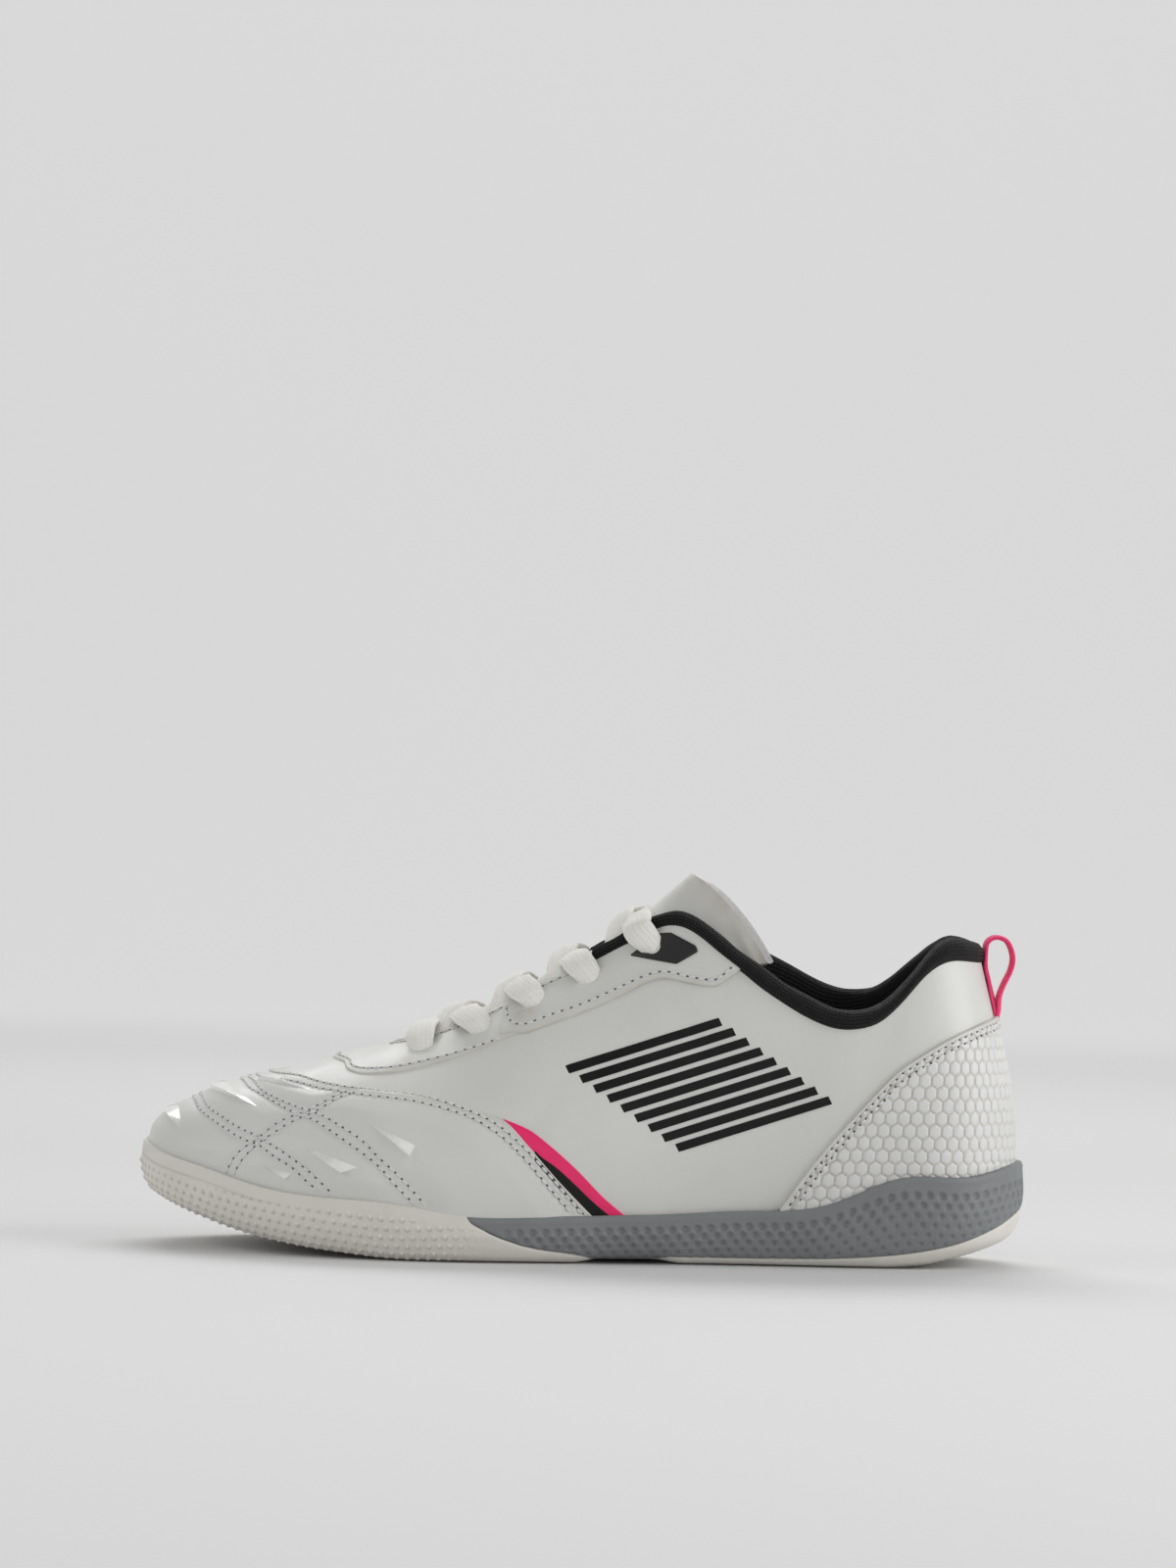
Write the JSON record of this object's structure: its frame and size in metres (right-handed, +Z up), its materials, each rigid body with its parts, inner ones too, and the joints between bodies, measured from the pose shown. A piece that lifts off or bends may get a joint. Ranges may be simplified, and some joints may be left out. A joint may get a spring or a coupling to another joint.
{
  "type": "indoor court shoe",
  "caption": "Low-cut laced indoor court shoe for the left foot, with a hollow upper, padded collar, tongue, heel counter and a flat rubber cupsole.",
  "frame": {"origin": "on the floor, under the middle of the shoe's box", "axes": "+X towards the toe, +Y towards the outer side of the left shoe, +Z up"},
  "size_m": [0.27, 0.0965, 0.1168],
  "materials": {
    "white_leather": "smooth coated, satin",
    "black_mesh": "padded knitted mesh",
    "pale_rubber": "satin, dotted",
    "grey_rubber": "satin, dimpled",
    "lace_cotton": "flat woven",
    "pink_webbing": "woven tape",
    "insole_cloth": "fine cloth on foam"
  },
  "bodies": {
    "root": {"upper": "white_leather", "tongue": "white_leather", "heel_counter": "white_leather", "collar": "black_mesh", "insole": "insole_cloth", "outsole_forefoot": "pale_rubber", "outsole_heel": "pale_rubber", "midsole_rear": "grey_rubber", "pull_loop": "pink_webbing", "lace_bar": "lace_cotton", "lace_cross_1": "lace_cotton", "lace_cross_2": "lace_cotton", "lace_cross_3": "lace_cotton", "lace_cross_4": "lace_cotton"}
  },
  "joints": []
}
